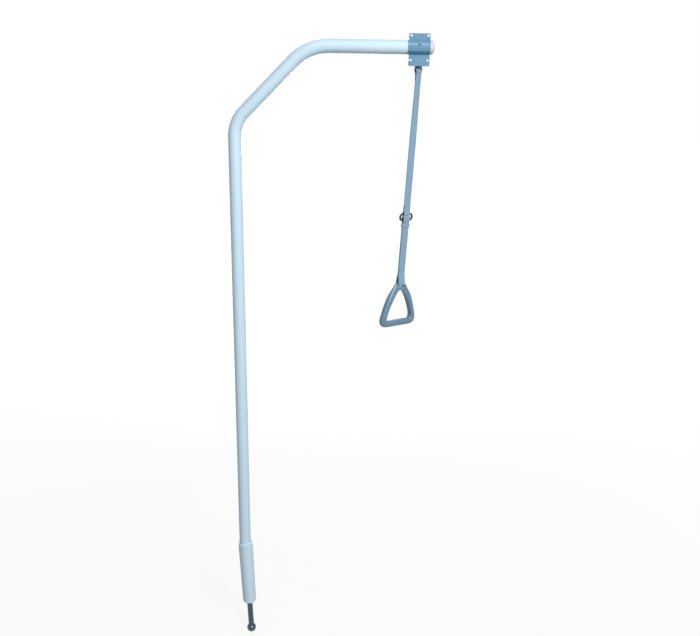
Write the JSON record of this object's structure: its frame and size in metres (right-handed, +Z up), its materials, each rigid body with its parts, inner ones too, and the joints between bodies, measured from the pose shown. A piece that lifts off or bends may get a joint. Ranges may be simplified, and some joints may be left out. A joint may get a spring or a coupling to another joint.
{
  "type": "bed trapeze",
  "caption": "White bent-tube lifting pole with a bed socket spigot, carrying a triangular hand grip on a webbing strap from a clamp bracket.",
  "frame": {"origin": "centre of the socket sleeve's lower end, where the pole rests in its bed socket", "axes": "+Z up along the upright tube, +X along the arm towards the strap, -Y towards the bracket's front plate"},
  "size_m": [0.5923, 0.0938, 2.0144],
  "materials": {
    "white_powder_coat": "satin white powder coat",
    "white_plastic": "moulded white nylon",
    "blue_grey_coat": "satin blue-grey coat",
    "blue_grey_plastic": "moulded satin plastic",
    "black_plastic": "black nylon",
    "grey_webbing": "woven flat webbing",
    "dark_steel": "dark oxide",
    "zinc_steel": "bright zinc"
  },
  "bodies": {
    "root": {"pole_tube": "white_powder_coat", "lower_tube": "white_powder_coat", "joint_ferrule": "zinc_steel", "socket_sleeve": "white_plastic", "spigot_core": "zinc_steel", "locating_pin": "dark_steel", "ball_tip": "dark_steel", "arm_end_cap": "white_plastic", "clamp_front": "blue_grey_coat", "clamp_back": "blue_grey_coat", "clamp_bolt_top_left": "zinc_steel", "clamp_bolt_top_right": "zinc_steel", "clamp_bolt_bottom_left": "zinc_steel", "clamp_bolt_bottom_right": "zinc_steel", "clamp_nut_top_left": "zinc_steel", "clamp_nut_top_right": "zinc_steel", "clamp_nut_bottom_left": "zinc_steel", "clamp_nut_bottom_right": "zinc_steel", "locating_screw": "zinc_steel", "hanger_block": "black_plastic"},
    "eye": {"hanger_eye": "dark_steel", "eye_collar": "zinc_steel"},
    "upper_webbing": {"upper_strap": "grey_webbing"},
    "ring": {"strap_ring": "dark_steel"},
    "lower_webbing": {"lower_strap": "grey_webbing", "strap_keeper": "grey_webbing"},
    "grip": {"hand_grip": "blue_grey_plastic"}
  },
  "joints": [
    {"name": "eye_swivel", "type": "hinge", "parent": "root", "child": "eye", "pos_m": [0.51564, 0, 1.8], "axis": [0, 0, 1], "continuous": true},
    {"name": "strap_swing", "type": "hinge", "parent": "eye", "child": "upper_webbing", "pos_m": [0.51564, 0, 1.7847], "axis": [0.6428, 0.766, 0], "range_deg": [-20, 20]},
    {"name": "ring_swing", "type": "hinge", "parent": "upper_webbing", "child": "ring", "pos_m": [0.49797, 0, 1.38011], "axis": [0.7759, 0.6297, -0.0366], "range_deg": [-15, 15]},
    {"name": "lower_strap_swing", "type": "hinge", "parent": "ring", "child": "lower_webbing", "pos_m": [0.49717, 0, 1.36312], "axis": [0.7759, 0.6297, -0.0366], "range_deg": [-15, 15]},
    {"name": "grip_swing", "type": "hinge", "parent": "lower_webbing", "child": "grip", "pos_m": [0.48789, 0, 1.16634], "axis": [0.7759, 0.6297, -0.0366], "range_deg": [-40, 40]}
  ]
}
